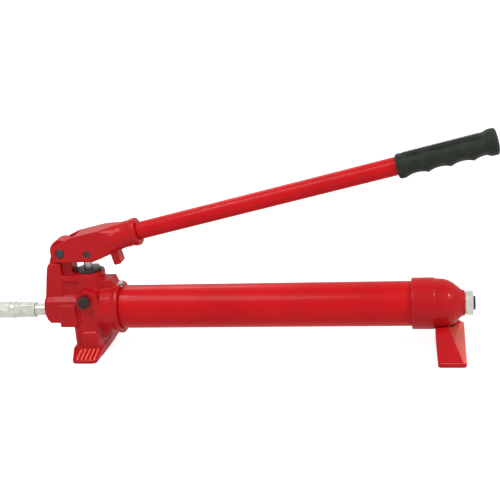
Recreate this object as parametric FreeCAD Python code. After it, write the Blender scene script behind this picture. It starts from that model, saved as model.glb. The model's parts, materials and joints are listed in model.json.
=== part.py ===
import FreeCAD, Part
import math
import os

# Hydraulic hand pump: a cast pump body on a wide foot, a horizontal tube reservoir held by a
# tie rod, a rear cap on a strip foot, a lever with a grip, and a hose on the outlet port.
# Millimetres. X runs from the pump body to the rear cap, Y away from the control side, Z up.
# X = 0 is the plunger axis while the pieces are made; place() then moves them all so that the
# origin is the bottom centre of the pump without its free hose.

V = FreeCAD.Vector
AX = V(1, 0, 0)
AY = V(0, 1, 0)
AZ = V(0, 0, 1)

# ---- driving dimensions ----
TUBE_D = 60.0            # reservoir tube outside diameter
TUBE_WALL = 2.0
TUBE_Z = 61.0            # height of the reservoir axis
TUBE_START = 32.0
FLANGE_R = 35.0
FLANGE_X = 44.0          # rear face of the body flange
SOCKET_X = 30.0          # bottom of the flange's socket
CAP_START = 441.0
CAP_COLLAR_END = 470.0
CAP_END = 510.0
CAP_R = 34.3
GASKET_T = 2.0
ROD_R = 10.0             # M20 tie rod
ROD_END = 523.5
ROD_THREAD_X = 474.0     # start of the rod's thread
NUT_AF = 30.0
NUT_T = 9.5

FULCRUM_X = -31.5
FULCRUM_Z = 146.8
PIN_SPACING = 38.0       # fulcrum pin to plunger pin
PIN_ANGLE = -3.2         # plunger pin seen from the fulcrum at rest, degrees
HANDLE_ANGLE = 12.5      # handle above the horizontal at rest, degrees
FULCRUM_PIN_R = 6.5
PLUNGER_PIN_R = 5.0
RUN_CLEAR = 0.05         # radial clearance of a running pin

LUG_HALF = 12.0          # half width of the lug between the lever cheeks
LUG_R = 17.5
CHEEK_IN = 12.5
CHEEK_OUT = 20.0
SOCKET_R = 18.0
COLLAR_R = 19.2
LEVER_LEN = 112.5        # fulcrum to the end of the lever socket
HANDLE_R = 12.0
HANDLE_WALL = 2.5
HANDLE_START = 57.0
GRIP_START = 470.5
GRIP_END = 598.0
GRIP_R = 17.3
GRIP_CAP = 4.0           # closed end of the grip

BOSS_R = 22.0            # pump cylinder boss
BOSS_TOP = 116.0
DECK_Z = 114.0           # flat top between post and boss
BORE_R = 6.3
CHAMBER_BOTTOM = 50.0
PORT_IN_R = 3.0          # inlet passage and the inlet ball's seat
PORT_OUT_R = 2.5         # outlet passage and the outlet ball's seat
SUCTION_Z = 40.0         # passage from the reservoir, near its bottom
PLUNGER_R = 6.0
PLUNGER_BOTTOM = 72.0
PLUNGER_HEAD_R = 12.5
SLOT_X = 3.0             # middle of the plunger head's slot
SLOT_TRAVEL = 3.8        # sideways play of the plunger pin either side of it
SLOT_LIFT = 0.7
GLAND_R = 14.0           # thread of the gland nut
GLAND_AF = 32.0
PACKING_Z = 96.0
PACKING_T = 10.0
GLAND_BOTTOM = 108.0

PORT_Z = 58.0            # outlet port axis
PORT_FACE = -64.5
PORT_R = 8.3
CAVITY_R = 6.5           # outlet check valve cavity
SEAT_X = -20.0
BALL_R = 4.5
BALL_GAP = 0.3
STEP_Z = 105.8           # pad that the lever's stop tab lands on
TAB_DROP = 36.5          # end of the stop tab below the handle's axis
VENT_X = 42.5            # filler screw on top of the flange
VENT_SEAT_Z = 94.8
VENT_HEAD_R = 4.2
VENT_HOLE_R = 3.05

VALVE_Z = 82.0           # release valve axis
KNOB_R = 8.6
RELIEF_X = -34.0
VALVE_BALL_R = 2.4       # release and relief balls
VALVE_THREAD_R = 5.0     # release screw and relief plug
VALVE_SEAT_R = 1.5
SPRING_WIRE_R = 0.6
FOOT_X0 = -20.0          # front and rear edge of the foot at its ends
FOOT_X1 = 14.0
FOOT_WAIST_X0 = -27.4    # the same under the pillar
FOOT_WAIST_X1 = 15.5
FOOT_HALF = 58.0
FOOT_WAIST_HALF = 28.0
FOOT_EDGE_T = 4.5        # thickness of the foot at its ends and under the pillar
FOOT_WAIST_T = 11.0
PILLAR_X0 = -11.0
PILLAR_X1 = 13.0
PILLAR_HALF = 31.0
SHOULDER_X0 = -23.0
SHOULDER_HALF = 28.0
TREAD_X0 = -13.7
TREAD_PITCH = 6.1
TREAD_RIBS = 5
REAR_FOOT_X0 = 473.5
REAR_FOOT_X1 = 510.0
REAR_FOOT_HALF = 70.0
STRIP_T = 6.0
LEG_TOP_Y = 24.0         # the legs meet the cap here, either side of the middle
LEG_TOP_Z = 36.0
LEG_TOP_X0 = 471.0       # front and rear edge of a leg where it meets the cap
LEG_TOP_X1 = 489.0
LEG_END_X1 = 506.0       # rear edge of a leg at its low end
ARCH_Z = 21.0            # top of the opening between the legs
ARCH_HALF = 17.0

NIPPLE_END = -86.0
HOSE_NUT_END = -116.0
FERRULE_END = -160.0
HOSE_R = 8.0
FERRULE_R = 11.9
COIL_X = -375.0          # centre of the hose coil
COIL_TOP_R = 70.0        # radius of the coil's top turn, where the hose arrives
COIL_BASE_R = 88.0       # radius of its bottom turn, on the floor
COIL_TOP_Z = 44.0
COIL_TURNS = 2.5
TAIL_LEN = 62.0


# ---- helpers ----
def box(x0, x1, y0, y1, z0, z1):
    return Part.makeBox(x1 - x0, y1 - y0, z1 - z0, V(x0, y0, z0))


def rounded_box(x0, x1, y0, y1, z0, z1, radius, axis):
    """A box whose edges parallel to axis are rounded."""
    solid = box(x0, x1, y0, y1, z0, z1)
    edges = [e for e in solid.Edges if abs(e.tangentAt(e.FirstParameter).dot(axis)) > 0.99]
    return solid.makeFillet(radius, edges)


def cyl(radius, start, axis, length):
    return Part.makeCylinder(radius, length, start, axis)


def ring(outer, inner, start, axis, length):
    return cyl(outer, start, axis, length).cut(cyl(inner, start, axis, length))


def hexagon(across, start, axis, length, turn=0.0):
    """A hexagonal prism with the given width across flats."""
    corner = across / math.sqrt(3.0)
    points = []
    for i in range(7):
        a = math.radians(60.0 * i + turn)
        points.append(V(corner * math.cos(a), corner * math.sin(a), 0))
    prism = Part.Face(Part.makePolygon(points)).extrude(V(0, 0, length))
    prism.Placement = FreeCAD.Placement(start, FreeCAD.Rotation(AZ, axis))
    return prism


def spun(points, start, axis):
    """A solid of revolution: points are (distance along the axis, radius)."""
    outline = [V(0, r, a) for a, r in points]
    outline.append(outline[0])
    solid = Part.Face(Part.makePolygon(outline)).revolve(V(0, 0, 0), AZ, 360)
    solid.Placement = FreeCAD.Placement(start, FreeCAD.Rotation(AZ, axis))
    return solid


def plate_xz(points, half):
    """A plate of half thickness half on each side of the XZ plane, from (x, z) points."""
    outline = [V(x, -half, z) for x, z in points]
    outline.append(outline[0])
    return Part.Face(Part.makePolygon(outline)).extrude(V(0, 2.0 * half, 0))


def plate_yz(points, x0, x1):
    outline = [V(x0, y, z) for y, z in points]
    outline.append(outline[0])
    return Part.Face(Part.makePolygon(outline)).extrude(V(x1 - x0, 0, 0))


def fused(solids):
    whole = solids[0].multiFuse(solids[1:])
    return whole.removeSplitter()


def on_lever(shape):
    """Turn a piece made along +X from the fulcrum to the handle's angle at rest."""
    shape.rotate(V(0, 0, 0), AY, -HANDLE_ANGLE)
    shape.translate(V(FULCRUM_X, 0, FULCRUM_Z))
    return shape


def plunger_pin_centre():
    a = math.radians(PIN_ANGLE)
    return V(FULCRUM_X + PIN_SPACING * math.cos(a), 0, FULCRUM_Z + PIN_SPACING * math.sin(a))


def helical_spring(coil_r, wire_r, length, turns, start, axis):
    """A round-wire compression spring with its wire inside the given length."""
    pitch = (length - 2.0 * wire_r) / turns
    path = Part.makeHelix(pitch, pitch * turns, coil_r)
    section = Part.Wire(Part.Circle(V(coil_r, 0, 0), AY, wire_r).toShape())
    spring = Part.Wire(path.Edges).makePipeShell([section], True, True)
    spring.translate(V(0, 0, wire_r))
    spring.Placement = FreeCAD.Placement(start, FreeCAD.Rotation(AZ, axis)).multiply(spring.Placement)
    return spring


# ---- pump body ----
def body_upper():
    """Post, lug, boss and the rib that carries the stop pad."""
    post_top = [(-56, 114), (-53.5, 127), (-50, 132.8), (-33.5, 132.3), (-33.5, DECK_Z), (0, DECK_Z)]
    post = plate_xz(post_top + [(0, 50), (-58, 50)] + body_front(), CHEEK_OUT)
    for side in (-1, 1):
        recess = rounded_box(-33.5, -10, side * 23 - 5, side * 23 + 5, 84, 106, 3, AY)
        post = post.cut(recess)
    lug_back = [(FULCRUM_X + LUG_R - 0.3, FULCRUM_Z), (-20, 134), (-20, 112)]
    lug_front = [(-55, 112), (-53.5, 127), (FULCRUM_X - LUG_R, FULCRUM_Z - 6)]
    lug = plate_xz(lug_back + lug_front, LUG_HALF)
    lug_top = cyl(LUG_R, V(FULCRUM_X, -LUG_HALF, FULCRUM_Z), AY, 2 * LUG_HALF)
    boss = cyl(BOSS_R, V(0, 0, 20), AZ, BOSS_TOP - 20)
    neck = box(0, 30, -18, 18, 40, 88)
    pad = plate_xz([(0, 60), (0, STEP_Z), (34, STEP_Z), (37.5, 97), (40, 80)], 13)
    return [post, lug, lug_top, boss, neck, pad]


def body_front():
    """Front edge of the post and the outlet block, from the bottom up."""
    return [(-60, 52.5), (-62.8, 62), (-62.8, 68), (-61.2, 84)]


def body_lower():
    """Valve block, outlet boss, pillars, foot and flange."""
    length_cut = [(-61.2, 86), (20, 86), (20, 42), (-38, 42), (-38, 47.5), (-56, 47.5)]
    cross_cut = [(-27, 40), (27, 40), (27, 78.5), (20, 85.5), (-20, 85.5), (-27, 78.5)]
    block = plate_xz(length_cut + body_front(), 30).common(plate_yz(cross_cut, -70, 30))
    side = rounded_box(-41, -16, -31, 31, 42, 75, 3, AX)
    port_boss = cyl(11.5, V(PORT_FACE, 0, PORT_Z), AX, 12)
    pillar = rounded_box(PILLAR_X0, PILLAR_X1, -PILLAR_HALF, PILLAR_HALF, 5, 76, 4, AZ)
    bulge = rounded_box(PILLAR_X0, PILLAR_X1 - 1, -PILLAR_HALF - 3, PILLAR_HALF + 3, 5, 36, 3, AX)
    shoulder = rounded_box(SHOULDER_X0, PILLAR_X1 - 3, -SHOULDER_HALF, SHOULDER_HALF, 5, 62, 3, AZ)
    flange = spun([(0, 0), (0, 29), (5, 33.5), (28, FLANGE_R), (31, FLANGE_R + 1.5),
                   (36, FLANGE_R + 1.5), (36, 0)], V(FLANGE_X - 36, 0, TUBE_Z), AX)
    return [block, side, port_boss, pillar, bulge, shoulder, foot(), flange] + foot_ribs() + valve_pads()


def foot():
    """Wide flat foot, thicker and a little longer under the pillar than at its ends."""
    top = [(FOOT_HALF, FOOT_EDGE_T), (FOOT_WAIST_HALF, FOOT_WAIST_T)]
    side = [(FOOT_HALF, 0)] + top + [(-y, z) for y, z in reversed(top)] + [(-FOOT_HALF, 0)]
    slab = plate_yz(side, FOOT_WAIST_X0 - 1, FOOT_WAIST_X1 + 1)
    quarter = [(FOOT_X0, FOOT_HALF), (FOOT_WAIST_X0, FOOT_WAIST_HALF)]
    outline = quarter + [(x, -y) for x, y in reversed(quarter)]
    outline += [(FOOT_X1, -FOOT_HALF), (FOOT_WAIST_X1, 0), (FOOT_X1, FOOT_HALF)]
    points = [V(x, y, 0) for x, y in outline]
    points.append(points[0])
    plan = Part.Face(Part.makePolygon(points)).extrude(V(0, 0, 2 * FOOT_WAIST_T))
    corners = [e for e in plan.Edges if is_foot_corner(e)]
    return slab.common(plan.makeFillet(5.0, corners))


def is_foot_corner(edge):
    upright = abs(edge.tangentAt(edge.FirstParameter).dot(AZ)) > 0.99
    return upright and abs(edge.CenterOfMass.y) > FOOT_HALF - 1


def foot_ribs():
    """The tread: ribs along the foot's slope, on each side of the pillar."""
    ribs = []
    for i in range(TREAD_RIBS):
        x = TREAD_X0 + TREAD_PITCH * i
        for side in (-1, 1):
            rib = [(side * 55.5, 2), (side * 55.5, 6.6), (side * 33, 11.9), (side * 33, 5)]
            ribs.append(plate_yz(rib, x - 1.4, x + 1.4))
    return ribs


def valve_pads():
    """The hexagonal pad of the release valve and the round one of the relief valve."""
    release = hexagon(31, V(2.5, -33.5, VALVE_Z - 1), AY, 19, 30.0)
    relief = cyl(10, V(RELIEF_X, 24, PORT_Z), AY, 9)
    return [release, relief]


def body_passages():
    """Bores, threads and oil passages drilled or cored in the casting."""
    chamber = cyl(BORE_R, V(0, 0, CHAMBER_BOTTOM), AZ, 60)
    packing = cyl(GLAND_R - 2, V(0, 0, PACKING_Z - 1.5), AZ, 30)
    gland = cyl(GLAND_R, V(0, 0, GLAND_BOTTOM), AZ, 30)
    inlet = cyl(PORT_IN_R, V(0, 0, SUCTION_Z - 2), AZ, 20)
    suction = cyl(PORT_IN_R, V(0, 0, SUCTION_Z), AX, 40)
    outlet = cyl(PORT_OUT_R, V(SEAT_X - 1, 0, PORT_Z), AX, 20)
    cavity = cyl(CAVITY_R, V(-50, 0, PORT_Z), AX, SEAT_X + 50)
    port = cyl(PORT_R, V(PORT_FACE - 2, 0, PORT_Z), AX, -44 - PORT_FACE)
    release = cyl(VALVE_THREAD_R, V(0, -40, VALVE_Z), AY, 22)
    release_seat = cyl(VALVE_SEAT_R, V(0, -19, VALVE_Z), AY, 3)
    cross_a = cyl(1.5, V(RELIEF_X, -16, PORT_Z), AY, 16)
    cross_b = cyl(1.8, V(RELIEF_X - 3, -16, PORT_Z), AX, 37)
    cross_c = cyl(2.1, V(0, -16, PORT_Z - 3), AZ, VALVE_Z - PORT_Z + 6)
    drain = cyl(1.8, V(0, -19, VALVE_Z - 5), AX, 50)
    relief = cyl(VALVE_THREAD_R, V(RELIEF_X, 12, PORT_Z), AY, 30)
    relief_seat = cyl(VALVE_SEAT_R, V(RELIEF_X, 0, PORT_Z), AY, 13)
    rod = cyl(ROD_R - 1, V(12, 0, TUBE_Z), AX, 30)
    tube = cyl(TUBE_D / 2, V(SOCKET_X, 0, TUBE_Z), AX, 20)
    fulcrum = cyl(FULCRUM_PIN_R + RUN_CLEAR, V(FULCRUM_X, -30, FULCRUM_Z), AY, 60)
    vent = cyl(VENT_HOLE_R, V(VENT_X, 0, 80), AZ, 20)
    vent_face = cyl(VENT_HEAD_R + 0.5, V(VENT_X, 0, VENT_SEAT_Z), AZ, 20)
    valves = [release, release_seat, relief, relief_seat, cross_a, cross_b, cross_c, drain]
    return [chamber, packing, gland, inlet, suction, outlet, cavity, port, rod, tube, vent,
            vent_face, fulcrum] + valves


def pump_body():
    casting = fused(body_upper() + body_lower())
    for hole in body_passages():
        casting = casting.cut(hole)
    return casting


# ---- pump cylinder ----
def gland_nut():
    thread = cyl(GLAND_R - 0.02, V(0, 0, GLAND_BOTTOM), AZ, BOSS_TOP - GLAND_BOTTOM)
    head = hexagon(GLAND_AF, V(0, 0, BOSS_TOP), AZ, 4)
    return fused([thread, head]).cut(cyl(PLUNGER_R + 0.3, V(0, 0, 100), AZ, 40))


def plunger_packing():
    return ring(GLAND_R - 2, PLUNGER_R + 0.3, V(0, 0, PACKING_Z), AZ, PACKING_T)


def packing_washers():
    """The washers under and over the packing."""
    low = ring(GLAND_R - 2.1, PLUNGER_R + 0.3, V(0, 0, PACKING_Z - 1.5), AZ, 1.5)
    high = ring(GLAND_R - 2.1, PLUNGER_R + 0.3, V(0, 0, PACKING_Z + PACKING_T), AZ, 2)
    return Part.makeCompound([low, high])


def plunger():
    pin = plunger_pin_centre()
    rod = cyl(PLUNGER_R, V(0, 0, PLUNGER_BOTTOM), AZ, pin.z - PLUNGER_BOTTOM)
    eye = cyl(PLUNGER_HEAD_R, V(SLOT_X, -9, pin.z), AY, 18)
    neck = Part.makeCone(PLUNGER_R, 8, 6, V(0, 0, pin.z - 12), AZ)
    head = fused([rod, neck, eye])
    slot_r = PLUNGER_PIN_R + SLOT_LIFT
    left = SLOT_X - SLOT_TRAVEL
    right = SLOT_X + SLOT_TRAVEL
    head = head.cut(box(left, right, -15, 15, pin.z - slot_r, pin.z + slot_r))
    for x in (left, right):
        head = head.cut(cyl(slot_r, V(x, -15, pin.z), AY, 30))
    return head


# ---- valves ----
def inlet_ball():
    lift = math.sqrt(BALL_R ** 2 - PORT_IN_R ** 2)
    return Part.makeSphere(BALL_R, V(0, 0, CHAMBER_BOTTOM + lift + BALL_GAP))


def outlet_ball_x():
    return SEAT_X - math.sqrt(BALL_R ** 2 - PORT_OUT_R ** 2) - BALL_GAP


def outlet_ball():
    return Part.makeSphere(BALL_R, V(outlet_ball_x(), 0, PORT_Z))


def outlet_spring():
    start = outlet_ball_x() - BALL_R - BALL_GAP
    return helical_spring(4.2, SPRING_WIRE_R, start + 46, 6, V(-46, 0, PORT_Z), AX)


def relief_ball():
    return Part.makeSphere(VALVE_BALL_R, V(RELIEF_X, 14.2, PORT_Z))


def relief_spring():
    return helical_spring(3.0, SPRING_WIRE_R, 8.7, 5, V(RELIEF_X, 16.9, PORT_Z), AY)


def relief_plug():
    """The adjusting screw of the relief valve, with a socket in its head."""
    screw = cyl(VALVE_THREAD_R, V(RELIEF_X, 25.6, PORT_Z), AY, 9.4)
    return screw.cut(hexagon(5, V(RELIEF_X, 31, PORT_Z), AY, 6))


def release_ball():
    return Part.makeSphere(VALVE_BALL_R, V(0, -20.6, VALVE_Z))


def release_screw():
    tip = cyl(2.2, V(0, -26, VALVE_Z), AY, 2.6)
    shank = cyl(VALVE_THREAD_R - RUN_CLEAR, V(0, -36, VALVE_Z), AY, 10)
    return fused([tip, shank])


def release_knob():
    knob = spun([(0, 0), (0, 6), (0.6, KNOB_R - 1.2), (1.8, KNOB_R), (6, KNOB_R), (6, 0)],
                V(0, -42, VALVE_Z), AY)
    return knob


def release_seal():
    return ring(6.6, VALVE_THREAD_R + RUN_CLEAR, V(0, -35.7, VALVE_Z), AY, 2.2)


def vent_screw():
    """Filler and vent screw through the flange and the tube, with a domed slotted head."""
    base = VENT_SEAT_Z + 1.0
    shank = cyl(VENT_HOLE_R - 0.1, V(VENT_X, 0, 86), AZ, base - 86 + 1)
    rim = cyl(VENT_HEAD_R, V(VENT_X, 0, base), AZ, 1.2)
    dome = Part.makeSphere(5.5, V(VENT_X, 0, base - 2.35))
    dome = dome.common(box(VENT_X - 8, VENT_X + 8, -8, 8, base + 1.2, base + 8))
    slot = box(VENT_X - 0.6, VENT_X + 0.6, -8, 8, base + 2.1, base + 8)
    return fused([shank, rim, dome]).cut(slot)


def vent_washer():
    return ring(VENT_HEAD_R + 0.2, 3.1, V(VENT_X, 0, VENT_SEAT_Z), AZ, 1.0)


# ---- reservoir ----
def reservoir_tube():
    length = CAP_START + 12 - TUBE_START
    tube = ring(TUBE_D / 2, TUBE_D / 2 - TUBE_WALL, V(TUBE_START, 0, TUBE_Z), AX, length)
    return tube.cut(cyl(VENT_HOLE_R, V(VENT_X, 0, 80), AZ, 20))


def gasket(x):
    return ring(TUBE_D / 2, TUBE_D / 2 - 4, V(x, 0, TUBE_Z), AX, GASKET_T)


def cap_outside():
    depth = CAP_END - CAP_START
    collar = CAP_COLLAR_END - CAP_START
    outline = [(0, 0), (0, CAP_R - 0.6), (0.6, CAP_R), (collar, CAP_R), (collar + 0.6, 33), (41, 32.4),
               (48, 30.4), (54, 26.9), (60, 22.0), (64.5, 18.0), (66, 17), (depth, 17), (depth, 0)]
    return spun(outline, V(CAP_START, 0, TUBE_Z), AX)


def rear_cap():
    cap = cap_outside().cut(cyl(TUBE_D / 2, V(CAP_START - 1, 0, TUBE_Z), AX, 15))
    hollow = spun([(0, 0), (0, 26), (24, 26), (36, 14), (36, 0)], V(CAP_START + 13, 0, TUBE_Z), AX)
    cap = cap.cut(hollow)
    return cap.cut(cyl(ROD_R + 0.1, V(CAP_START, 0, TUBE_Z), AX, 90))


def tie_rod():
    front = cyl(ROD_R - 1, V(14, 0, TUBE_Z), AX, 20)
    shank = cyl(ROD_R - 1, V(34, 0, TUBE_Z), AX, ROD_THREAD_X - 34)
    thread = cyl(ROD_R, V(ROD_THREAD_X, 0, TUBE_Z), AX, ROD_END - 1.5 - ROD_THREAD_X)
    chamfer = Part.makeCone(ROD_R, ROD_R - 1.5, 1.5, V(ROD_END - 1.5, 0, TUBE_Z), AX)
    return fused([front, shank, thread, chamfer])


def tie_rod_washer():
    return ring(14, ROD_R + 0.1, V(CAP_END, 0, TUBE_Z), AX, 1)


def tie_rod_nut():
    start = V(CAP_END + 1, 0, TUBE_Z)
    nut = hexagon(NUT_AF, start, AX, NUT_T)
    corner = NUT_AF / math.sqrt(3.0)
    turned = spun([(0, 0), (0, corner - 1.2), (1.1, corner + 0.4), (NUT_T - 1.1, corner + 0.4),
                   (NUT_T, corner - 1.2), (NUT_T, 0)], start, AX)
    return nut.common(turned).cut(cyl(ROD_R, start, AX, NUT_T))


def suction_tube():
    """Pick-up tube from the body's suction port, low in the oil."""
    return ring(3.9, 2.9, V(SOCKET_X, 0, SUCTION_Z), AX, 16)


def suction_filter():
    sleeve = ring(6, 4, V(34, 0, SUCTION_Z), AX, 20)
    return sleeve.cut(box(50, 60, -1, 1, SUCTION_Z - 10, SUCTION_Z + 10))


# ---- rear foot ----
def rear_foot_plate():
    return rounded_box(REAR_FOOT_X0, REAR_FOOT_X1, -REAR_FOOT_HALF, REAR_FOOT_HALF, 0, STRIP_T, 5, AZ)


def rear_foot_bracket():
    """Two sloping legs that widen from the cap down to the plate, joined under the cap."""
    end = REAR_FOOT_HALF - 1
    outer = [(-end, STRIP_T), (-end, STRIP_T + 1), (-LEG_TOP_Y, LEG_TOP_Z)]
    inner = [(-ARCH_HALF, ARCH_Z), (-end + 12, STRIP_T)]
    near = outer + [(-y, z) for y, z in reversed(outer)]
    under = [(-y, z) for y, z in reversed(inner)] + inner
    strip = plate_yz(near + under, LEG_TOP_X0, REAR_FOOT_X1)
    front = [V(LEG_TOP_X0, 0, 0), V(LEG_TOP_X0, LEG_TOP_Y, 0), V(REAR_FOOT_X0, end, 0)]
    rear = [V(LEG_END_X1, end, 0), V(LEG_TOP_X1, LEG_TOP_Y, 0), V(LEG_TOP_X1, 0, 0)]
    half = front + rear
    half.append(half[0])
    plan = Part.Face(Part.makePolygon(half)).extrude(V(0, 0, TUBE_Z))
    legs = [strip.common(plan), strip.common(plan.mirror(V(0, 0, 0), AY))]
    return fused(legs).cut(cap_outside())


# ---- lever ----
def lever_beam():
    """Fork, web and socket in one casting, made along +X from the fulcrum."""
    edge = [(0, 13), (22, 18), (92, 18), (92, -17.5), (76, -17.5), (42, -22.5), (0, -13.2)]
    side = plate_xz(edge, CHEEK_OUT)
    round_off = spun([(-30, 0), (-30, 40), (56, 28.5), (68, 24.5), (78, 21.2), (86, 18.8), (91, SOCKET_R),
                      (91, 0)], V(0, 0, 0), AX)
    eye = cyl(13, V(0, -CHEEK_OUT, 0), AY, 2 * CHEEK_OUT)
    socket = cyl(SOCKET_R, V(60, 0, 0), AX, LEVER_LEN - 60)
    collar = spun([(0, 0), (0, 18), (1.5, COLLAR_R), (8, COLLAR_R), (9.5, 18), (9.5, 0)],
                  V(LEVER_LEN - 9.5, 0, 0), AX)
    tab = rounded_box(66, 76.8, -10, 10, -TAB_DROP, -10, 2, AY)
    beam = fused([side.common(round_off), eye, socket, collar, tab])
    pocket = box(-20, 55, -CHEEK_IN, CHEEK_IN, -40, 11)
    opening = box(-20, 25, -CHEEK_IN, CHEEK_IN, 0, 40)
    bore = cyl(HANDLE_R, V(HANDLE_START, 0, 0), AX, 80)
    beam = beam.cut(pocket).cut(opening).cut(bore)
    beam = beam.cut(cyl(FULCRUM_PIN_R, V(0, -30, 0), AY, 60))
    low = math.radians(PIN_ANGLE - HANDLE_ANGLE)
    pin = V(PIN_SPACING * math.cos(low), -30, PIN_SPACING * math.sin(low))
    return on_lever(beam.cut(cyl(PLUNGER_PIN_R, pin, AY, 60)))


def fulcrum_pin():
    half = CHEEK_OUT + 0.4
    pin = cyl(FULCRUM_PIN_R, V(FULCRUM_X, -half, FULCRUM_Z), AY, 2 * half)
    return pin.makeChamfer(0.8, [e for e in pin.Edges if e.Closed])


def plunger_pin():
    half = CHEEK_OUT - 1.5
    return cyl(PLUNGER_PIN_R, plunger_pin_centre() - AY * half, AY, 2 * half)


def handle_tube():
    length = GRIP_END - GRIP_CAP - HANDLE_START
    tube = ring(HANDLE_R, HANDLE_R - HANDLE_WALL, V(HANDLE_START, 0, 0), AX, length)
    return on_lever(tube)


def handle_grip():
    """Rubber grip with finger waves; its closed end covers the tube."""
    length = GRIP_END - GRIP_START
    outline = [(0, 0), (0, GRIP_R - 2), (2, GRIP_R - 0.3), (length - 6, GRIP_R - 0.3),
               (length - 4, GRIP_R + 0.4), (length - 1.5, GRIP_R - 0.6), (length, GRIP_R - 3), (length, 0)]
    grip = spun(outline, V(GRIP_START, 0, 0), AX)
    hollow = cyl(HANDLE_R, V(GRIP_START - 1, 0, 0), AX, length - GRIP_CAP + 1)
    return on_lever(grip.cut(hollow))


# ---- hose ----
def outlet_nipple():
    thread = cyl(PORT_R, V(-46, 0, PORT_Z), -AX, -46 - PORT_FACE)
    neck = cyl(8.8, V(PORT_FACE, 0, PORT_Z), -AX, PORT_FACE - NIPPLE_END)
    solid = fused([thread, neck])
    return solid.cut(cyl(3, V(NIPPLE_END - 1, 0, PORT_Z), AX, 60))


def hose_nut():
    """Swivel nut between the nipple and the ferrule, with turned flats."""
    length = NIPPLE_END - HOSE_NUT_END
    nut = hexagon(20.6, V(HOSE_NUT_END, 0, PORT_Z), AX, length, 90.0)
    turned = cyl(11.0, V(HOSE_NUT_END, 0, PORT_Z), AX, length)
    return nut.common(turned).cut(cyl(3, V(HOSE_NUT_END, 0, PORT_Z), AX, length))


def hose_ferrule():
    length = HOSE_NUT_END - FERRULE_END
    outline = [(0, 3), (0, 10.4), (1.5, FERRULE_R), (length - 1, FERRULE_R), (length, 10.8), (length, 3)]
    ferrule = spun(outline, V(FERRULE_END, 0, PORT_Z), AX)
    return ferrule.cut(cyl(HOSE_R, V(FERRULE_END, 0, PORT_Z), AX, length - 6))


def lead_points():
    """The hose from the ferrule, sinking and swinging aside to the coil's top turn."""
    return [V(FERRULE_END, 0, PORT_Z), V(-205, 0, 58), V(-250, 17, 57), V(-290, 45, 53),
            V(-332, 63, 47), V(COIL_X, COIL_TOP_R, COIL_TOP_Z)]


def tail_points():
    """The hose from the coil's bottom turn to the far ferrule, along the floor."""
    y = -COIL_BASE_R
    return [V(COIL_X, y, HOSE_R), V(COIL_X + 34, y, HOSE_R + 1.5), V(COIL_X + TAIL_LEN, y, 14.2)]


def hose_path(points, name):
    """Straight runs joined by tangent arcs of 0.45 of the shorter run."""
    edges = []
    start = points[0]
    for before, corner, after in zip(points, points[1:], points[2:]):
        run_in = corner - before
        run_out = after - corner
        cut = 0.45 * min(run_in.Length, run_out.Length)
        into = V(run_in).normalize()
        out = V(run_out).normalize()
        half = into.getAngle(out) / 2.0
        radius = cut / math.tan(half)
        print("arc radius of the", name, round(radius, 1))
        first = corner - into * cut
        last = corner + out * cut
        inward = (out - into).normalize()
        middle = corner + inward * (radius / math.cos(half) - radius)
        edges.append(Part.LineSegment(start, first).toShape())
        edges.append(Part.Arc(first, middle, last).toShape())
        start = last
    edges.append(Part.LineSegment(start, points[-1]).toShape())
    return Part.Wire(edges)


def hose_run(points, name):
    path = hose_path(points, name)
    section = Part.Wire(Part.Circle(points[0], points[1] - points[0], HOSE_R).toShape())
    run = path.makePipeShell([section], True, True)
    ideal = math.pi * HOSE_R ** 2 * path.Length
    print(name, "length", round(path.Length, 1), "volume ratio", round(run.Volume / ideal, 4))
    return run


def hose_coil():
    """Outer shape of the coiled hose: a ring that widens to the floor."""
    top = COIL_TOP_Z + HOSE_R
    outline = [(0, COIL_BASE_R - 16), (0, COIL_BASE_R + HOSE_R), (16, COIL_BASE_R + HOSE_R),
               (top, COIL_TOP_R + HOSE_R), (top, COIL_TOP_R - HOSE_R), (36, COIL_TOP_R - HOSE_R)]
    return spun(outline, V(COIL_X, 0, 0), AZ)


def hose_lead():
    """The hose up to the outside of the coil."""
    lead = hose_run(lead_points(), "hose lead").cut(hose_coil())
    return max(lead.Solids, key=lambda piece: piece.Volume)


def hose_tail():
    tail = hose_run(tail_points(), "hose tail").cut(hose_coil())
    return max(tail.Solids, key=lambda piece: piece.Volume)


def tail_frame():
    """Start and direction of the pieces on the hose's far end."""
    points = tail_points()
    direction = (points[-1] - points[-2]).normalize()
    return points[-1], direction


def far_ferrule():
    start, along = tail_frame()
    outline = [(0, 3), (0, 10.4), (1.5, FERRULE_R), (34, FERRULE_R), (35, 10.8), (35, 3)]
    return spun(outline, start, along)


def coupler_body():
    """Female half of the hose coupler: a hexagon, a nose and an open socket."""
    start, along = tail_frame()
    start = start + along * 35
    solid = fused([hexagon(21, start, along, 14), cyl(10, start + along * 14, along, 24)])
    solid = solid.cut(cyl(3, start, along, 40))
    return solid.cut(cyl(7.5, start + along * 22, along, 20))


def coupler_sleeve():
    start, along = tail_frame()
    start = start + along * 51
    outline = [(0, 10), (0, 12.4), (1.5, 13.4), (18.5, 13.4), (20, 12.4), (20, 10)]
    return spun(outline, start, along)


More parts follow.
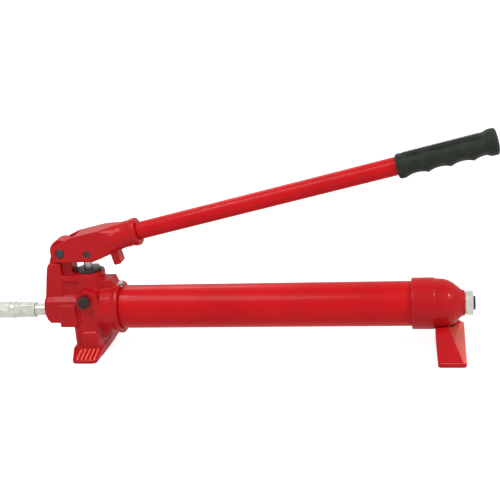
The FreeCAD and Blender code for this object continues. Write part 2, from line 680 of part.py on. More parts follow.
PIECES = {
    "pump_body": pump_body,
    "gland_nut": gland_nut,
    "plunger_packing": plunger_packing,
    "packing_washers": packing_washers,
    "plunger": plunger,
    "inlet_ball": inlet_ball,
    "outlet_ball": outlet_ball,
    "outlet_spring": outlet_spring,
    "relief_ball": relief_ball,
    "relief_spring": relief_spring,
    "relief_plug": relief_plug,
    "release_ball": release_ball,
    "release_screw": release_screw,
    "release_knob": release_knob,
    "release_seal": release_seal,
    "vent_screw": vent_screw,
    "vent_washer": vent_washer,
    "reservoir_tube": reservoir_tube,
    "front_gasket": lambda: gasket(SOCKET_X),
    "rear_gasket": lambda: gasket(CAP_START + 12),
    "rear_cap": rear_cap,
    "tie_rod": tie_rod,
    "tie_rod_washer": tie_rod_washer,
    "tie_rod_nut": tie_rod_nut,
    "suction_tube": suction_tube,
    "suction_filter": suction_filter,
    "rear_foot_plate": rear_foot_plate,
    "rear_foot_bracket": rear_foot_bracket,
    "lever_beam": lever_beam,
    "fulcrum_pin": fulcrum_pin,
    "plunger_pin": plunger_pin,
    "handle_tube": handle_tube,
    "handle_grip": handle_grip,
    "outlet_nipple": outlet_nipple,
    "hose_nut": hose_nut,
    "hose_ferrule": hose_ferrule,
    "hose_lead": hose_lead,
    "hose_coil": hose_coil,
    "hose_tail": hose_tail,
    "far_ferrule": far_ferrule,
    "coupler_body": coupler_body,
    "coupler_sleeve": coupler_sleeve,
}
FREE_HOSE = ("hose_lead", "hose_coil", "hose_tail", "far_ferrule", "coupler_body", "coupler_sleeve")


def place(shapes):
    """Move every piece so that the origin is the bottom centre of the pump without its hose."""
    pump = Part.makeCompound([s for name, s in shapes.items() if name not in FREE_HOSE])
    bounds = pump.optimalBoundingBox()
    shift = V(-(bounds.XMin + bounds.XMax) / 2.0, 0, -bounds.ZMin)
    print("shift", round(shift.x, 4), round(shift.z, 4))
    for shape in shapes.values():
        shape.translate(shift)


def main():
    os.makedirs("parts", exist_ok=True)
    shapes = {name: make() for name, make in PIECES.items()}
    place(shapes)
    for name, shape in shapes.items():
        print(name, shape.isValid(), len(shape.Solids), round(shape.Volume))
        shape.exportStep("parts/" + name + ".step")


main()
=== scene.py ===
import json
import math

import bmesh
import bpy
from mathutils import Matrix, Vector


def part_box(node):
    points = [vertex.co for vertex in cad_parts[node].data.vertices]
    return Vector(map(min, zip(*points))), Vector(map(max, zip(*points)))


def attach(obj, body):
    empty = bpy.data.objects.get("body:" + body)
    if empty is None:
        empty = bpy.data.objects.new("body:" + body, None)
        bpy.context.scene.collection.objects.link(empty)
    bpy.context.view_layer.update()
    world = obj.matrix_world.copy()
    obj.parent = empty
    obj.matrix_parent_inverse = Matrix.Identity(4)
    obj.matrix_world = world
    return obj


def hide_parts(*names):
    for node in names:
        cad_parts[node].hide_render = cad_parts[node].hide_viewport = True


# Looks of the hydraulic hand pump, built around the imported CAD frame. Metres.
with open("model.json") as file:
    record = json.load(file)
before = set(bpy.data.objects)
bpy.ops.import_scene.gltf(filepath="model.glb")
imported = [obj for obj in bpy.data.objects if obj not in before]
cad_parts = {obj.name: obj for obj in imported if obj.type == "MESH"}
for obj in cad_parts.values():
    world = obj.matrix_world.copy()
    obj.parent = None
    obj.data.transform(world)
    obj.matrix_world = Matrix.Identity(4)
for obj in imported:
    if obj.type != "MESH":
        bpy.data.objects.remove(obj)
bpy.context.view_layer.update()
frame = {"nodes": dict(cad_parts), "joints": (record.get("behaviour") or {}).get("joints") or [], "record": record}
NODES = frame["nodes"]

# ---- places read from the frame ----
TUBE_LOW, TUBE_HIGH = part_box("reservoir_tube")
TUBE_AXIS_Z = (TUBE_LOW.z + TUBE_HIGH.z) / 2
PUMP_X = (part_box("inlet_ball")[0].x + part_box("inlet_ball")[1].x) / 2      # plunger axis
FERRULE_LOW, FERRULE_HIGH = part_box("hose_ferrule")
PORT_Z = (FERRULE_LOW.z + FERRULE_HIGH.z) / 2
JOINT = {j["name"]: j for j in frame["joints"]}
FULCRUM = Vector(JOINT["handle"]["pos_m"])
HANDLE_ANGLE = math.radians(12.5)      # handle above the horizontal at rest
HANDLE_WAY = Vector((math.cos(HANDLE_ANGLE), 0, math.sin(HANDLE_ANGLE)))
HANDLE_UP = Vector((-math.sin(HANDLE_ANGLE), 0, math.cos(HANDLE_ANGLE)))


def add_object(name, data):
    """A new object in the scene."""
    made = bpy.data.objects.new(name, data)
    bpy.context.scene.collection.objects.link(made)
    return made


# ---- camera ----
AZIMUTH = math.radians(11.3)
ELEVATION = math.radians(18.3)
ROLL = math.radians(4.8)
DISTANCE = 1.346
TARGET = Vector((PUMP_X + 0.2294, 0.0, 0.1403))
SENSOR_WIDTH = 36.0     # millimetres, like the focal length
FOCAL_LENGTH = 72.4


def make_camera():
    data = bpy.data.cameras.new("camera")
    data.sensor_width = SENSOR_WIDTH
    data.lens = FOCAL_LENGTH
    camera = add_object("camera", data)
    towards = Vector((math.sin(AZIMUTH) * math.cos(ELEVATION),
                      -math.cos(AZIMUTH) * math.cos(ELEVATION),
                      math.sin(ELEVATION)))
    turn = towards.to_track_quat("Z", "Y").to_matrix().to_4x4()
    camera.matrix_world = (Matrix.Translation(TARGET + towards * DISTANCE) @ turn
                           @ Matrix.Rotation(-ROLL, 4, "Z"))
    bpy.context.scene.camera = camera


make_camera()
bpy.context.scene.view_settings.view_transform = "Standard"


# ---- mesh helpers ----
ROUNDED_END = 0.0012    # length of the rounded end of a ferrule or sleeve
WELD = 1e-6


def mesh_object(name, verts, faces, smooth_angle=35.0):
    mesh = bpy.data.meshes.new(name)
    mesh.from_pydata([tuple(v) for v in verts], [], faces)
    mesh.validate()
    mesh.update()
    shade(mesh, smooth_angle)
    return add_object(name, mesh)


def smooth_step(low, high, value):
    """0 below low, 1 above high, with a soft change between them."""
    t = min(1.0, max(0.0, (value - low) / (high - low)))
    return t * t * (3 - 2 * t)


def plateau(s, start, rise, end, fall):
    """1 from start + rise to end, 0 before start and after end + fall."""
    return smooth_step(start, start + rise, s) * (1 - smooth_step(end, end + fall, s))


def end_rounding(s, length, depth):
    """How far both ends of a turned piece draw in."""
    return sum(depth * (max(0.0, ROUNDED_END - end) / ROUNDED_END) ** 2 for end in (s, length - s))


def shade(mesh, angle):
    """Smooth shading with edges sharper than angle kept sharp."""
    mesh.polygons.foreach_set("use_smooth", [True] * len(mesh.polygons))
    mesh.set_sharp_from_angle(angle=math.radians(angle))


def axis_frame(start, axis):
    """Matrix that takes local +Z to axis and the origin to start."""
    turn = Vector(axis).normalized().to_track_quat("Z", "Y").to_matrix().to_4x4()
    return Matrix.Translation(start) @ turn


def skin(name, rows, place, around=96, closed=True, smooth_angle=35.0):
    """Rings about the local Z axis joined into a skin; a row is (along, radius at an angle)."""
    verts = []
    for along, radius in rows:
        for i in range(around):
            angle = 2 * math.pi * i / around
            r = radius(angle)
            verts.append(place @ Vector((r * math.cos(angle), r * math.sin(angle), along)))
    faces = []
    for row in range(len(rows) if closed else len(rows) - 1):
        a = row * around
        b = ((row + 1) % len(rows)) * around
        for i in range(around):
            j = (i + 1) % around
            faces.append((a + i, a + j, b + j, b + i))
    if not closed:
        faces.append(tuple(reversed(range(around))))
        faces.append(tuple(range((len(rows) - 1) * around, len(rows) * around)))
    piece = mesh_object(name, verts, faces, smooth_angle)
    outward(piece)
    return piece


def lathe(name, radius_at, stations, place, around=96, bore=None):
    """Skin with radius_at(s, angle) at each station; solid, or with a plain bore through it."""
    rows = [(s, lambda angle, s=s: radius_at(s, angle)) for s in stations]
    if bore:
        rows += [(s, lambda angle: bore) for s in (stations[-1], stations[0])]
    return skin(name, rows, place, around, bore is not None)


def spun(name, outline, place, around=96, smooth_angle=35.0):
    """A closed outline of (along, radius) points turned about the local Z axis."""
    rows = [(along, lambda angle, r=r: r) for along, r in outline]
    return skin(name, rows, place, around, True, smooth_angle)


def outward(piece):
    """Weld doubled points and turn every face outwards."""
    bm = bmesh.new()
    bm.from_mesh(piece.data)
    bmesh.ops.remove_doubles(bm, verts=bm.verts, dist=WELD)
    bmesh.ops.recalc_face_normals(bm, faces=bm.faces)
    bm.to_mesh(piece.data)
    bm.free()


def block(low, high):
    """Corners and faces of a box, for joining into a casting."""
    verts = [(x, y, z) for x in (low[0], high[0]) for y in (low[1], high[1]) for z in (low[2], high[2])]
    faces = [(0, 1, 3, 2), (4, 6, 7, 5), (0, 4, 5, 1), (2, 3, 7, 6), (0, 2, 6, 4), (1, 5, 7, 3)]
    return verts, faces


def joined_mesh(node, extras):
    """The node's mesh, welded, with the extra blocks added."""
    bm = bmesh.new()
    bm.from_mesh(NODES[node].data)
    bmesh.ops.remove_doubles(bm, verts=bm.verts, dist=WELD)
    for verts, faces in extras:
        made = [bm.verts.new(v) for v in verts]
        for face in faces:
            bm.faces.new([made[i] for i in face])
    bmesh.ops.recalc_face_normals(bm, faces=bm.faces)
    mesh = bpy.data.meshes.new(node + "_cast")
    bm.to_mesh(mesh)
    bm.free()
    return mesh


def cast_skin(node, voxel, rounds, extras=()):
    """The node's shape with the softened edges of a painted casting."""
    piece = add_object(node + "_cast", joined_mesh(node, extras))
    remesh = piece.modifiers.new("remesh", "REMESH")
    remesh.mode = "VOXEL"
    remesh.voxel_size = voxel
    remesh.use_smooth_shade = True
    soften = piece.modifiers.new("soften", "SMOOTH")
    soften.factor = 0.5
    soften.iterations = rounds
    bpy.context.view_layer.update()
    graph = bpy.context.evaluated_depsgraph_get()
    made = bpy.data.meshes.new_from_object(piece.evaluated_get(graph))
    piece.modifiers.clear()
    piece.data = made
    made.polygons.foreach_set("use_smooth", [True] * len(made.polygons))
    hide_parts(node)
    return piece


# ---- hose ----
HOSE_D = 0.016
HOSE_R = HOSE_D / 2
COIL_X = PUMP_X - 0.375
COIL_TOP_R = 0.070
COIL_BASE_R = 0.088
COIL_TOP_Z = 0.044
COIL_TURNS = 2.5
POINTS_PER_TURN = 16


def coil_points():
    """From the top turn, round and outwards, down to the bottom turn on the floor."""
    points = []
    count = int(COIL_TURNS * POINTS_PER_TURN)
    bulge = 1.0 / math.cos(math.pi / POINTS_PER_TURN)
    for i in range(1, count):
        t = i / count
        angle = math.pi / 2 + 2 * math.pi * COIL_TURNS * t
        r = (COIL_TOP_R + (COIL_BASE_R - COIL_TOP_R) * t) * bulge
        z = COIL_TOP_Z + (HOSE_R - COIL_TOP_Z) * t
        points.append((COIL_X + r * math.cos(angle), r * math.sin(angle), z))
    return points


TAIL_BEND = Vector((COIL_X + 0.034, -COIL_BASE_R, 0.0095))
TAIL_TIP = Vector((COIL_X + 0.062, -COIL_BASE_R, 0.0142))
TAIL_WAY = (TAIL_TIP - TAIL_BEND).normalized()


def hose_points():
    """From the ferrule to the coil, round it, and out to the far ferrule."""
    lead = [(FERRULE_LOW.x, 0, PORT_Z), (PUMP_X - 0.205, 0, 0.058), (PUMP_X - 0.250, 0.017, 0.057),
            (PUMP_X - 0.290, 0.045, 0.053), (PUMP_X - 0.332, 0.063, 0.047),
            (COIL_X, COIL_TOP_R, COIL_TOP_Z)]
    tail = [(COIL_X, -COIL_BASE_R, HOSE_R), tuple(TAIL_BEND), tuple(TAIL_TIP)]
    return lead + coil_points() + tail


def make_hose():
    curve = bpy.data.curves.new("hose", "CURVE")
    curve.dimensions = "3D"
    curve.bevel_depth = 1.0     # times each point's radius
    curve.bevel_resolution = 8
    curve.resolution_u = 10
    curve.use_fill_caps = True
    spline = curve.splines.new("NURBS")
    points = hose_points()
    spline.points.add(len(points) - 1)
    for point, place in zip(spline.points, points):
        point.co = (*place, 1.0)
        point.radius = HOSE_R
    spline.order_u = 3
    spline.use_endpoint_u = True
    return add_object("hose", curve)


hose = make_hose()
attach(hose, "pump")
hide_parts("hose_lead", "hose_coil", "hose_tail")


# ---- materials ----
def node_material(name):
    """A new material, its node tree, its shader and the object coordinates."""
    material = bpy.data.materials.new(name)
    material.use_nodes = True
    tree = material.node_tree
    shader = tree.nodes["Principled BSDF"]
    place = tree.nodes.new("ShaderNodeTexCoord")
    return material, tree, shader, place.outputs["Object"]


def noise_texture(tree, place, scale, detail=3.0, rough=0.5):
    texture = tree.nodes.new("ShaderNodeTexNoise")
    texture.inputs["Scale"].default_value = scale
    texture.inputs["Detail"].default_value = detail
    texture.inputs["Roughness"].default_value = rough
    tree.links.new(place, texture.inputs["Vector"])
    return texture.outputs["Fac"]


def stretched(tree, place, scale):
    """Coordinates scaled differently along each axis."""
    mapping = tree.nodes.new("ShaderNodeMapping")
    mapping.inputs["Scale"].default_value = scale
    tree.links.new(place, mapping.inputs["Vector"])
    return mapping.outputs["Vector"]


def ramp(tree, value, stops):
    """Colours at positions along a value."""
    node = tree.nodes.new("ShaderNodeValToRGB")
    elements = node.color_ramp.elements
    while len(elements) < len(stops):
        elements.new(0.5)
    for element, (position, colour) in zip(elements, stops):
        element.position = position
        element.color = (*colour, 1.0)
    tree.links.new(value, node.inputs["Fac"])
    return node.outputs["Color"]


def spread(tree, value, low, high):
    """Map a noise value to the range low to high."""
    node = tree.nodes.new("ShaderNodeMapRange")
    node.inputs["From Min"].default_value = 0.3
    node.inputs["From Max"].default_value = 0.7
    node.inputs["To Min"].default_value = low
    node.inputs["To Max"].default_value = high
    tree.links.new(value, node.inputs["Value"])
    return node.outputs["Result"]


def add_bump(tree, shader, layers):
    """Chain bumps: each layer is (height, strength, distance in metres)."""
    normal = None
    for height, strength, distance in layers:
        bump = tree.nodes.new("ShaderNodeBump")
        bump.inputs["Strength"].default_value = strength
        bump.inputs["Distance"].default_value = distance
        tree.links.new(height, bump.inputs["Height"])
        if normal is not None:
            tree.links.new(normal, bump.inputs["Normal"])
        normal = bump.outputs["Normal"]
    tree.links.new(normal, shader.inputs["Normal"])


ENAMEL_DARK = (0.28, 0.0025, 0.0042)
ENAMEL_LIGHT = (0.34, 0.0040, 0.0060)


def paint(name, waviness, depth, gloss, highlight_tint=(0.0, 0.0, 0.0)):
    """Gloss red enamel; waviness is the unevenness of the metal under it, depth darkens the red.

    The last argument is a painted highlight: a tint added to the colour where light would catch the paint.
    """
    dark = tuple(a * b + c for a, b, c in zip(ENAMEL_DARK, (depth, 1, 1), highlight_tint))
    light = tuple(a * b + c for a, b, c in zip(ENAMEL_LIGHT, (depth, 1, 1), highlight_tint))
    material, tree, shader, place = node_material(name)
    tone = noise_texture(tree, place, 14.0, 4.0)
    tree.links.new(ramp(tree, tone, [(0.30, dark), (0.70, light)]), shader.inputs["Base Color"])
    haze = noise_texture(tree, place, 45.0, 5.0, 0.6)
    tree.links.new(spread(tree, haze, 0.34, 0.46), shader.inputs["Roughness"])
    shader.inputs["Coat Weight"].default_value = gloss
    shader.inputs["Coat Roughness"].default_value = 0.10
    shader.inputs["Specular IOR Level"].default_value = 0.05
    lumps = noise_texture(tree, place, 70.0, 2.0)
    peel = noise_texture(tree, place, 650.0, 2.0)
    add_bump(tree, shader, [(lumps, waviness, 0.0012), (peel, 0.12, 0.0001)])
    return material


def zinc(name, tint, metallic):
    """Bright metal with a cloudy tone and fine turning lines."""
    material, tree, shader, place = node_material(name)
    shader.inputs["Metallic"].default_value = metallic
    cloud = noise_texture(tree, place, 120.0, 5.0, 0.6)
    dark = tuple(c * 0.78 for c in tint)
    tree.links.new(ramp(tree, cloud, [(0.32, dark), (0.62, tint)]), shader.inputs["Base Color"])
    tree.links.new(spread(tree, cloud, 0.26, 0.42), shader.inputs["Roughness"])
    lines = noise_texture(tree, stretched(tree, place, (2500.0, 300.0, 300.0)), 1.0, 2.0)
    add_bump(tree, shader, [(lines, 0.10, 0.0001)])
    return material


def dark_steel(name, colour, metallic, rough):
    """Oiled metal, paler where it is worn."""
    material, tree, shader, place = node_material(name)
    shader.inputs["Metallic"].default_value = metallic
    oil = noise_texture(tree, place, 160.0, 4.0)
    worn = tuple(min(1.0, c * 2.0) for c in colour)
    tree.links.new(ramp(tree, oil, [(0.45, colour), (0.80, worn)]), shader.inputs["Base Color"])
    tree.links.new(spread(tree, oil, rough, rough + 0.15), shader.inputs["Roughness"])
    fine = noise_texture(tree, place, 1500.0, 2.0)
    add_bump(tree, shader, [(fine, 0.15, 0.0001)])
    return material


def rubber(name, colour, rough, grain, sheen):
    """Rubber or plastic with a fine grain and a little dust."""
    material, tree, shader, place = node_material(name)
    dust = noise_texture(tree, place, 60.0, 5.0, 0.65)
    pale = tuple(c * 1.7 + 0.004 for c in colour)
    tree.links.new(ramp(tree, dust, [(0.40, colour), (0.78, pale)]), shader.inputs["Base Color"])
    tree.links.new(spread(tree, dust, rough, rough + 0.14), shader.inputs["Roughness"])
    shader.inputs["Sheen Weight"].default_value = sheen
    shader.inputs["Specular IOR Level"].default_value = 0.11
    fine = noise_texture(tree, place, 1400.0, 3.0)
    add_bump(tree, shader, [(fine, grain, 0.0002)])
    return material


MATERIALS = {
    "red_paint": paint("red_enamel", 0.10, 1.04, 0.05),
    "zinc": zinc("zinc_plate", (0.44, 0.45, 0.405), 0.5),
    "black_oxide": dark_steel("black_oxide_steel", (0.017, 0.010, 0.010), 0.3, 0.36),
    "ground_steel": zinc("hard_chrome", (0.34, 0.35, 0.36), 0.9),
    "steel": dark_steel("bare_steel", (0.30, 0.30, 0.31), 0.9, 0.30),
    "grip_rubber": rubber("grip_rubber", (0.008, 0.011, 0.0075), 0.50, 0.30, 0.01),
    "hose_rubber": rubber("hose_cover", (0.012, 0.012, 0.013), 0.46, 0.20, 0.02),
    "seal_rubber": rubber("seal_rubber", (0.020, 0.020, 0.022), 0.55, 0.20, 0.05),
    "brass": dark_steel("brass", (0.45, 0.30, 0.10), 0.9, 0.30),
    "knob_plastic": rubber("knob_plastic", (0.018, 0.013, 0.010), 0.36, 0.10, 0.0),
}
CASTING_PAINT = paint("red_enamel_on_casting", 0.55, 0.90, 0.13)
# A paler, more orange red, painted in as a highlight where light would catch the tread crests and the rear plate's
# top.
HIGHLIGHT_PAINT = paint("red_enamel_painted_highlight", 0.55, 1.0, 0.30, (0.20, 0.066, 0.040))


def wear(piece, slot, body=None, material=None):
    """Give a new piece its slot's material, or the material passed in, and its body if one is named."""
    piece.data.materials.clear()
    piece.data.materials.append(material or MATERIALS[slot])
    if body:
        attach(piece, body)


# Edge rounding of the turned and milled pieces: width in metres, steps.
EDGE_BREAKS = {
    "gland_nut": (0.0006, 2), "tie_rod_nut": (0.0004, 2), "tie_rod_washer": (0.0003, 1),
    "release_knob": (0.0007, 3), "vent_screw": (0.0002, 2), "outlet_nipple": (0.0006, 2),
    "hose_nut": (0.0007, 3), "coupler_body": (0.0005, 2), "fulcrum_pin": (0.0003, 2),
    "plunger_pin": (0.0006, 2), "plunger": (0.0005, 2), "relief_plug": (0.0003, 1),
}
EDGE_ANGLE = 32.0       # degrees; sharper edges count as edges


def break_edges(node, width, steps):
    bevel = node.modifiers.new("edge_break", "BEVEL")
    bevel.width = width
    bevel.segments = steps
    bevel.limit_method = "ANGLE"
    bevel.angle_limit = math.radians(EDGE_ANGLE)
    bevel.harden_normals = True


def dress_cad_nodes():
    """Every CAD node that stays in view gets its slot's material and smooth shading."""
    slot_of = {row["node"]: row["material_slot"] for row in frame["record"]["subparts"]}
    for name, node in NODES.items():
        node.data.materials.clear()
        node.data.materials.append(MATERIALS[slot_of[name]])
        shade(node.data, EDGE_ANGLE)
        if name in EDGE_BREAKS:
            break_edges(node, *EDGE_BREAKS[name])


dress_cad_nodes()
hose.data.materials.append(MATERIALS["hose_rubber"])


# ---- painted castings ----
TREAD_X = -0.0137       # middle of the first tread rib, from the plunger axis
TREAD_PITCH = 0.0061
TREAD_RIBS = 5
CREST_HALF = 0.0013     # half the width of a crest that gets the painted highlight
TREAD_INNER_Y = 0.034
TREAD_OUTER_Y = 0.0555
TREAD_TOP_Z = 0.0135
PLATE_LOW = (0.0575, -0.0208, -0.0045)      # raised panel, along, across and above the handle
PLATE_HIGH = (0.0830, -0.0100, 0.0080)


def add_painted_highlight(casting, is_highlit):
    """Give the faces that the test picks the paler paint of a painted highlight."""
    casting.data.materials.append(HIGHLIGHT_PAINT)
    for face in casting.data.polygons:
        if is_highlit(face.center, face.normal):
            face.material_index = 1


def on_tread(place, normal):
    """True on the crests of the foot's tread ribs."""
    count = (place.x - PUMP_X - TREAD_X) / TREAD_PITCH
    near_rib = abs(count - round(count)) * TREAD_PITCH < CREST_HALF
    on_slope = TREAD_INNER_Y < abs(place.y) < TREAD_OUTER_Y and place.z < TREAD_TOP_Z
    return near_rib and on_slope and 0 <= round(count) < TREAD_RIBS and normal.z > 0.6


def make_castings():
    """Softened skins for the castings, and the faces that get a painted highlight."""
    skins = {}
    for node, body, voxel, rounds, extras in (
            ("pump_body", "pump", 0.0010, 6, ()),
            ("lever_beam", "lever", 0.0008, 7, (lever_plate(),)),
            ("rear_cap", "pump", 0.0010, 5, ()),
            ("rear_foot_bracket", "pump", 0.0010, 4, ()),
            ("rear_foot_plate", "pump", 0.0008, 3, ())):
        skins[node] = cast_skin(node, voxel, rounds, extras)
        wear(skins[node], "red_paint", body, CASTING_PAINT)
    # The tread crests and the rear plate's top faces get the painted highlight.
    add_painted_highlight(skins["pump_body"], on_tread)
    add_painted_highlight(skins["rear_foot_plate"], lambda place, normal: normal.z > 0.7)


def on_lever(along, across, up):
    """A point given along and above the handle's axis, from the fulcrum."""
    turn = Matrix.Rotation(-HANDLE_ANGLE, 3, "Y")
    return FULCRUM + turn @ Vector((along, across, up))


def lever_plate():
    """A plain raised panel on the near side of the lever casting."""
    verts, faces = block(PLATE_LOW, PLATE_HIGH)
    return [on_lever(*v) for v in verts], faces


make_castings()


# ---- turned pieces ----
RESERVOIR_R = 0.030
RESERVOIR_WALL = 0.002
HANDLE_TUBE_START = 0.057       # along the handle from the fulcrum
HANDLE_TUBE_LENGTH = 0.537
HANDLE_TUBE_R = 0.012
HANDLE_TUBE_WALL = 0.0025
THREAD_PITCH = 0.0025
THREAD_DEPTH = 0.0011
THREAD_LENGTH = 0.046
THREAD_STEPS = 130
THREAD_R = 0.0099       # crest of the thread
ROD_R = 0.009
ROD_END_R = 0.0088      # at the tip, before the chamfer widens


def make_tube(name, node, start, axis, length, outer, wall, body):
    """A smooth open tube with broken edges."""
    edge = 0.0004
    outline = [(0, outer - wall), (0, outer - edge), (edge, outer), (length - edge, outer),
               (length, outer - edge), (length, outer - wall)]
    piece = spun(name, outline, axis_frame(start, axis), around=128)
    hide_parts(node)
    wear(piece, "red_paint", body)


make_tube("reservoir_tube_skin", "reservoir_tube", Vector((TUBE_LOW.x, 0, TUBE_AXIS_Z)), (1, 0, 0),
          TUBE_HIGH.x - TUBE_LOW.x, RESERVOIR_R, RESERVOIR_WALL, "pump")
make_tube("handle_tube_skin", "handle_tube", FULCRUM + HANDLE_WAY * HANDLE_TUBE_START, HANDLE_WAY,
          HANDLE_TUBE_LENGTH, HANDLE_TUBE_R, HANDLE_TUBE_WALL, "lever")


def make_tie_rod():
    """The tie rod with the thread that carries the rear nut."""
    low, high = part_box("tie_rod")
    length = high.x - low.x
    thread_from = length - THREAD_LENGTH
    plain = [0.0, thread_from - 0.002, thread_from - 0.0005]
    threaded = [thread_from + THREAD_LENGTH * i / THREAD_STEPS for i in range(THREAD_STEPS + 1)]

    def radius(s, angle):
        if s < thread_from - 0.001:
            return ROD_R
        turn = (s / THREAD_PITCH - angle / (2 * math.pi)) % 1.0
        r = THREAD_R - THREAD_DEPTH * abs(2 * turn - 1)
        return min(r, ROD_END_R + 1.2 * (length - s))

    axis_z = (low.z + high.z) / 2
    rod = lathe("tie_rod_threaded", radius, plain + threaded,
                axis_frame((low.x, 0, axis_z), (1, 0, 0)), around=72)
    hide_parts("tie_rod")
    wear(rod, "black_oxide", "pump")


make_tie_rod()


# ---- rubber grip: places along it are from its mouth ----
GRIP_START = 0.4705
GRIP_LENGTH = 0.1275
GRIP_SIDE_R = 0.0160
GRIP_LOBE_R = 0.0173
GRIP_AROUND = 112
GRIP_STEPS = 420
FINGER_PITCH = 0.0287
FINGER_START = 0.0085
FINGER_DEPTH = 0.0031
RIB_PITCH = 0.0031
RIB_HEIGHT = 0.0015
RIBS_START = 0.0105
RIBS_END = 0.106
LINE_START = 0.014
LINE_END = 0.110
LINE_DEPTH = 0.0009
TOP_FLAT = 0.0009
FLARE_START = 0.109
FLARE_R = 0.0172
RING_PITCH = 0.0020
RING_HEIGHT = 0.00022
NOSE_LENGTH = 0.004
NOSE_DEPTH = 0.0032
LIP_LENGTH = 0.0028
LIP_DEPTH = 0.0020
GRIP_DOME = ((0.72, 0.0006), (0.40, 0.0010), (0.10, 0.0012))    # share of the radius, rise


def finger_groove(s):
    """0 on a ridge between two fingers, 1 in the middle of a finger's groove."""
    turn = (s - FINGER_START) / FINGER_PITCH
    if turn < 0:
        return 0.0
    return 1 - abs(2 * (turn % 1.0) - 1) ** 2.2


def grip_radius(s, angle):
    """Radius of the grip; angle 0 is its top, pi its underside."""
    up = math.cos(angle)
    r = GRIP_SIDE_R - TOP_FLAT * smooth_step(0.1, 0.9, up)
    under = smooth_step(0.25, 0.85, -up)
    r += under * (GRIP_LOBE_R - FINGER_DEPTH * finger_groove(s) - r)
    rib = 0.5 + 0.5 * math.cos(2 * math.pi * s / RIB_PITCH)
    ribbed = plateau(s, RIBS_START, 0.0015, RIBS_END, 0.002)
    r += smooth_step(0.77, 0.81, up) * ribbed * RIB_HEIGHT * (rib - 0.35)
    line = plateau(s, LINE_START, 0.003, LINE_END, 0.003)
    r -= LINE_DEPTH * line * (1 - smooth_step(0.012, 0.050, abs(up - 0.73)))
    ring = RING_HEIGHT * math.cos(2 * math.pi * s / RING_PITCH)
    r += smooth_step(FLARE_START, FLARE_START + 0.010, s) * (FLARE_R - r + ring)
    nose = max(0.0, s - (GRIP_LENGTH - NOSE_LENGTH)) / NOSE_LENGTH
    r -= NOSE_DEPTH * nose ** 2.2
    lip = max(0.0, LIP_LENGTH - s) / LIP_LENGTH
    return r - LIP_DEPTH * lip ** 2


def grip_rows():
    """Rings of the grip from its mouth on the tube, along it and over its domed end."""
    rows = [(0.0, lambda angle: HANDLE_TUBE_R)]
    for i in range(GRIP_STEPS + 1):
        s = GRIP_LENGTH * i / GRIP_STEPS
        rows.append((s, lambda angle, s=s: grip_radius(s, angle)))
    for share, rise in GRIP_DOME:
        rows.append((GRIP_LENGTH + rise,
                     lambda angle, share=share: grip_radius(GRIP_LENGTH, angle) * share))
    return rows


def make_grip():
    turn = Matrix((HANDLE_UP, HANDLE_WAY.cross(HANDLE_UP), HANDLE_WAY)).transposed().to_4x4()
    place = Matrix.Translation(FULCRUM + HANDLE_WAY * GRIP_START) @ turn
    grip = skin("grip", grip_rows(), place, GRIP_AROUND, False, 40.0)
    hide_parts("handle_grip")
    wear(grip, "grip_rubber", "lever")


make_grip()


# ---- hose fittings ----
FERRULE_R = 0.0119
FERRULE_FLATS = 8
FERRULE_LENGTH = 0.035  # of the far ferrule; the near one's is read from the frame
FERRULE_STEPS = 90
SLEEVE_START = 0.051    # from the hose's far tip, along it
SLEEVE_LENGTH = 0.020
SLEEVE_R = 0.0132
SLEEVE_BORE = 0.010
SLEEVE_STEPS = 60
FLUTES = 36
FLUTE_DEPTH = 0.0005


def crimp_radius(base, length, flats):
    """Radius of a crimped ferrule: flats pressed in along its middle."""
    def radius(s, angle):
        pressed = plateau(s, 0.004, 0.003, length - 0.009, 0.003)
        step = 2 * math.pi / flats
        off = (angle + 0.2) % step - step / 2
        flat = base * math.cos(step / 2) / math.cos(off)
        r = base + pressed * (min(base, flat * 1.012) - base)
        return r - end_rounding(s, length, 0.0009)
    return radius


def make_ferrule(name, node, start, axis, length):
    stations = [length * i / FERRULE_STEPS for i in range(FERRULE_STEPS + 1)]
    radius = crimp_radius(FERRULE_R, length, FERRULE_FLATS)
    piece = lathe(name, radius, stations, axis_frame(start, axis), around=128)
    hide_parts(node)
    wear(piece, "zinc", "pump")
    return piece


def make_sleeve():
    """Coupler sleeve with a ring of shallow grip flutes between two plain bands."""
    def radius(s, angle):
        fluted = plateau(s, 0.003, 0.001, SLEEVE_LENGTH - 0.005, 0.001)
        r = SLEEVE_R - FLUTE_DEPTH * fluted * (0.5 + 0.5 * math.cos(FLUTES * angle))
        return r - end_rounding(s, SLEEVE_LENGTH, 0.0012)

    stations = [SLEEVE_LENGTH * i / SLEEVE_STEPS for i in range(SLEEVE_STEPS + 1)]
    place = axis_frame(TAIL_TIP + TAIL_WAY * SLEEVE_START, TAIL_WAY)
    sleeve = lathe("coupler_sleeve_fluted", radius, stations, place, around=216, bore=SLEEVE_BORE)
    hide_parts("coupler_sleeve")
    wear(sleeve, "zinc", "pump")
    return sleeve


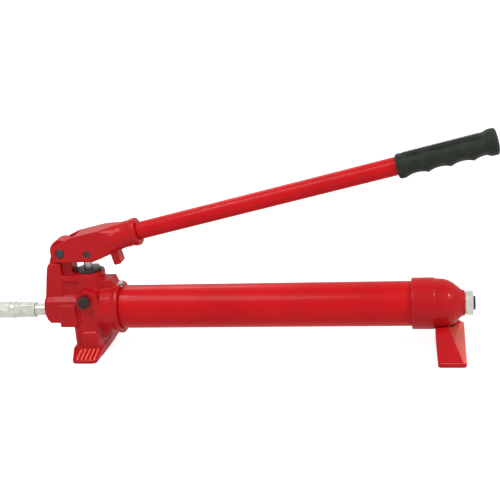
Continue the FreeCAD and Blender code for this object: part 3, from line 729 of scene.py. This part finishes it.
make_ferrule("ferrule_crimped", "hose_ferrule", Vector((FERRULE_LOW.x, 0, PORT_Z)), (1, 0, 0),
             FERRULE_HIGH.x - FERRULE_LOW.x)
far_ferrule = make_ferrule("far_ferrule_crimped", "far_ferrule", TAIL_TIP, TAIL_WAY, FERRULE_LENGTH)
sleeve = make_sleeve()


# ---- floor and light ----
FLOOR_SIZE = 20.0
FLOOR_GLOW = 0.78
SKY_STRENGTH = 0.95
# Name, place, what it points at, size and watts.
LIGHTS = (
    ("key", (-0.5, -0.9, 1.7), (0.0, 0.0, 0.1), (1.0, 0.65), 24.0),
    ("edge", (-0.55, -0.30, 1.2), (-0.2, 0.0, 0.1), (0.10, 0.10), 3.0),
    ("fill", (1.3, -1.2, 0.9), (0.1, 0.0, 0.1), (0.9, 0.9), 1.5),
    ("spark", (1.17, -0.30, 0.86), (0.2, 0.0, 0.08), (0.20, 0.15), 10.0),
    ("back", (-0.50, 1.07, 1.11), (-0.2, -0.04, 0.01), (0.6, 0.35), 7.0),
)


def make_floor():
    bpy.ops.mesh.primitive_plane_add(size=FLOOR_SIZE, location=(0, 0, 0))
    floor = bpy.context.object
    floor.name = "floor"
    material, tree, shader, place = node_material("floor_paper")
    shader.inputs["Base Color"].default_value = (0.30, 0.30, 0.30, 1.0)
    shader.inputs["Roughness"].default_value = 0.9
    shader.inputs["Emission Color"].default_value = (1.0, 1.0, 1.0, 1.0)
    shader.inputs["Emission Strength"].default_value = FLOOR_GLOW
    floor.data.materials.append(material)


def make_light(name, place, target, size, power):
    data = bpy.data.lights.new(name, "AREA")
    data.shape = "RECTANGLE"
    data.size, data.size_y = size
    data.energy = power
    light = add_object(name, data)
    light.location = place
    light.rotation_euler = (Vector(target) - Vector(place)).to_track_quat("-Z", "Y").to_euler()


def make_world():
    world = bpy.data.worlds.new("studio")
    world.use_nodes = True
    sky = world.node_tree.nodes["Background"]
    sky.inputs["Color"].default_value = (1.0, 1.0, 1.0, 1.0)
    sky.inputs["Strength"].default_value = SKY_STRENGTH
    bpy.context.scene.world = world


make_floor()
make_world()
for light in LIGHTS:
    make_light(*light)
